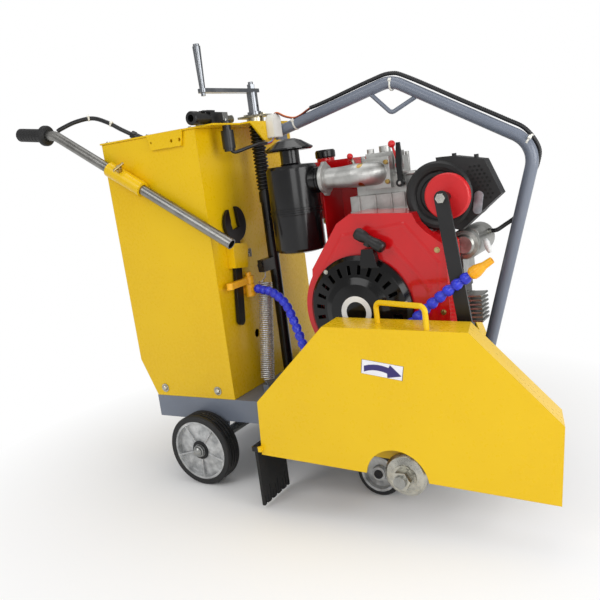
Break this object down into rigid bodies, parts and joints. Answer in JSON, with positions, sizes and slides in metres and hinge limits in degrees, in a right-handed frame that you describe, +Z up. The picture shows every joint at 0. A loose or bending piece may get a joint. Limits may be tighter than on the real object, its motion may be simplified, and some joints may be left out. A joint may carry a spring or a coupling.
{
  "type": "walk-behind concrete saw",
  "caption": "Walk-behind concrete saw: wheeled deck with a tank console and sliding handles, crank lift, hooped lifting frame, small diesel engine and a steel blade guard.",
  "frame": {"origin": "middle of the footprint, on the floor the wheels stand on", "axes": "+X forward along the machine, +Y to its left, +Z up"},
  "size_m": [1.3474, 0.6234, 1.043],
  "materials": {
    "yellow_paint": "glossy powder coat",
    "grey_paint": "satin enamel",
    "dark_paint": "satin black enamel",
    "red_paint": "glossy enamel",
    "zinc": "zinc plated",
    "steel": "machined",
    "chrome": "polished",
    "cast_alu": "as cast",
    "cast_iron": "painted casting",
    "black_plastic": "moulded",
    "rubber": "matt",
    "white_plastic": "moulded",
    "orange_plastic": "moulded",
    "blue_plastic": "moulded",
    "red_plastic": "moulded"
  },
  "bodies": {
    "frame": {"deck_frame": "grey_paint", "tank_body": "yellow_paint", "top_panel": "yellow_paint", "tank_bolts": "zinc", "inlet_valve": "cast_alu", "key_switch": "black_plastic", "wire_cover": "white_plastic", "hoop": "grey_paint", "cable_loom": "black_plastic", "screw_bearing": "zinc", "bellows": "rubber", "lift_spring": "zinc", "rear_axle": "steel", "spanner_holder": "yellow_paint", "water_valve": "orange_plastic", "hose_supply": "blue_plastic", "hose_front": "blue_plastic", "hose_nozzle": "orange_plastic", "arbor_bearings": "cast_iron", "belts": "rubber", "belt_cover": "yellow_paint", "engine_block": "cast_alu", "shroud": "red_paint", "recoil_cover": "black_plastic", "cylinder_head": "cast_alu", "air_cleaner": "black_plastic", "fuel_tank": "red_paint", "muffler": "dark_paint", "starter_motor": "cast_alu", "throttle_cable": "black_plastic", "cable_gland": "black_plastic"},
    "handle_near": {"handle_tube_near": "steel"},
    "twist_grip": {"grip_near": "rubber"},
    "handle_far": {"handle_tube_far": "steel", "grip_far": "rubber"},
    "clamp_near": {"clamp_screw_near": "zinc"},
    "clamp_far": {"clamp_screw_far": "zinc"},
    "inlet_handle": {"inlet_lever": "black_plastic"},
    "key": {"switch_key": "steel"},
    "lift_crank": {"crank": "chrome"},
    "crank_sleeve": {"crank_grip": "chrome"},
    "lift": {"lift_tube": "dark_paint"},
    "swing": {"swing_frame": "dark_paint"},
    "front_near": {"front_wheel_near": "cast_alu"},
    "front_far": {"front_wheel_far": "cast_alu"},
    "rear_near": {"rear_wheel_near": "cast_alu"},
    "rear_far": {"rear_wheel_far": "cast_alu"},
    "wrench": {"spanner": "dark_paint"},
    "water_handle": {"valve_lever": "orange_plastic"},
    "guard": {"guard_body": "yellow_paint"},
    "flap": {"mud_flap": "rubber"},
    "arbor": {"arbor_shaft": "steel", "blade_clamp": "zinc"},
    "engine_shaft": {"crankshaft": "cast_iron"},
    "guide": {"guide_arm": "dark_paint"},
    "guide_roller": {"guide_wheel": "red_plastic"},
    "starter_pull": {"recoil_handle": "black_plastic"},
    "tank_cap": {"fuel_cap": "black_plastic"},
    "decompression": {"decompression_lever": "red_plastic"},
    "speed": {"speed_lever": "black_plastic"}
  },
  "joints": [
    {"name": "handle_near_slide", "type": "slide", "parent": "frame", "child": "handle_near", "axis": [0.8508, 0, -0.5255], "range_m": [-0.25, 0.15]},
    {"name": "handle_far_slide", "type": "slide", "parent": "frame", "child": "handle_far", "axis": [0.8508, 0, -0.5255], "range_m": [-0.37, 0.045]},
    {"name": "throttle_twist", "type": "hinge", "parent": "handle_near", "child": "twist_grip", "pos_m": [-0.66654, -0.2022, 0.92235], "axis": [0.9885, 0, -0.1513], "range_deg": [0, 70], "stiffness_Nm_per_rad": 0.6},
    {"name": "clamp_near_turn", "type": "hinge", "parent": "frame", "child": "clamp_near", "pos_m": [-0.33922, -0.2022, 0.77898], "axis": [0.4304, -0.5736, 0.6969], "range_deg": [0, 360]},
    {"name": "clamp_far_turn", "type": "hinge", "parent": "frame", "child": "clamp_far", "pos_m": [-0.33922, 0.2628, 0.77898], "axis": [0.4304, 0.5736, 0.6969], "range_deg": [0, 360]},
    {"name": "inlet_turn", "type": "hinge", "parent": "frame", "child": "inlet_handle", "pos_m": [-0.09025, -0.1377, 0.896], "axis": [0, 0, 1], "range_deg": [0, 90]},
    {"name": "key_turn", "type": "hinge", "parent": "frame", "child": "key", "pos_m": [-0.06525, -0.1197, 0.87], "axis": [0, 0, 1], "range_deg": [0, 60]},
    {"name": "crank_turn", "type": "hinge", "parent": "frame", "child": "lift_crank", "pos_m": [-0.05825, -0.0037, 0.9], "axis": [0, 0, 1], "range_deg": [-1440, 1440]},
    {"name": "crank_grip_turn", "type": "hinge", "parent": "lift_crank", "child": "crank_sleeve", "pos_m": [-0.0875, -0.15999, 0.99], "axis": [0, 0, 1], "continuous": true},
    {"name": "lift_travel", "type": "slide", "parent": "frame", "child": "lift", "axis": [0, 0, 1], "range_m": [-0.0202, 0.0202], "deforming": ["bellows", "lift_spring"]},
    {"name": "swing_turn", "type": "hinge", "parent": "frame", "child": "swing", "pos_m": [-0.20225, 0.0303, 0.09], "axis": [0, 1, 0], "range_deg": [-8.05, 8.05]},
    {"name": "front_near_spin", "type": "hinge", "parent": "swing", "child": "front_near", "pos_m": [0.24975, -0.1557, 0.052], "axis": [0, 1, 0], "continuous": true},
    {"name": "front_far_spin", "type": "hinge", "parent": "swing", "child": "front_far", "pos_m": [0.24975, 0.2163, 0.052], "axis": [0, 1, 0], "continuous": true},
    {"name": "rear_near_spin", "type": "hinge", "parent": "frame", "child": "rear_near", "pos_m": [-0.20225, -0.2147, 0.09], "axis": [0, 1, 0], "continuous": true},
    {"name": "rear_far_spin", "type": "hinge", "parent": "frame", "child": "rear_far", "pos_m": [-0.20225, 0.2753, 0.09], "axis": [0, 1, 0], "continuous": true},
    {"name": "spanner_draw", "type": "slide", "parent": "frame", "child": "wrench", "axis": [0, 0.1305, 0.9914], "range_m": [0, 0.18]},
    {"name": "water_turn", "type": "hinge", "parent": "frame", "child": "water_handle", "pos_m": [-0.09025, -0.0817, 0.488], "axis": [0, 0, 1], "range_deg": [0, 90]},
    {"name": "guard_tilt", "type": "hinge", "parent": "frame", "child": "guard", "pos_m": [0.35975, -0.2197, 0.111], "axis": [0, -1, 0], "range_deg": [0, 10]},
    {"name": "flap_swing", "type": "hinge", "parent": "guard", "child": "flap", "pos_m": [0.01775, -0.2467, 0.147], "axis": [0, 1, 0], "range_deg": [-20, 20]},
    {"name": "arbor_spin", "type": "hinge", "parent": "frame", "child": "arbor", "pos_m": [0.35975, 0.0303, 0.111], "axis": [0, 1, 0], "continuous": true},
    {"name": "engine_spin", "type": "hinge", "parent": "frame", "child": "engine_shaft", "pos_m": [0.24675, 0.0303, 0.428], "axis": [0, 1, 0], "continuous": true},
    {"name": "guide_fold", "type": "hinge", "parent": "frame", "child": "guide", "pos_m": [0.50475, -0.1907, 0.185], "axis": [0, 1, 0], "range_deg": [0, 113]},
    {"name": "guide_roll", "type": "hinge", "parent": "guide", "child": "guide_roller", "pos_m": [0.45575, -0.1527, 0.652], "axis": [0, 1, 0], "continuous": true},
    {"name": "starter_draw", "type": "slide", "parent": "frame", "child": "starter_pull", "axis": [0.342, 0, 0.9397], "range_m": [0, 0.3], "stiffness_N_per_m": 30, "springref_m": -0.4},
    {"name": "cap_turn", "type": "hinge", "parent": "frame", "child": "tank_cap", "pos_m": [0.07775, 0.0823, 0.768], "axis": [0, 0, 1], "range_deg": [0, 180]},
    {"name": "decompression_turn", "type": "hinge", "parent": "frame", "child": "decompression", "pos_m": [0.31375, -0.0327, 0.722], "axis": [0, 1, 0], "range_deg": [0, 50]},
    {"name": "speed_turn", "type": "hinge", "parent": "frame", "child": "speed", "pos_m": [0.32075, -0.0497, 0.684], "axis": [0, 1, 0], "range_deg": [0, 35]}
  ],
  "couplings": [
    {"joint": "lift_travel", "follows": "crank_turn", "m_per_rad": 0.00079577},
    {"joint": "swing_turn", "follows": "crank_turn", "ratio": -0.0055262},
    {"joint": "arbor_spin", "follows": "engine_spin", "ratio": 1.24}
  ]
}
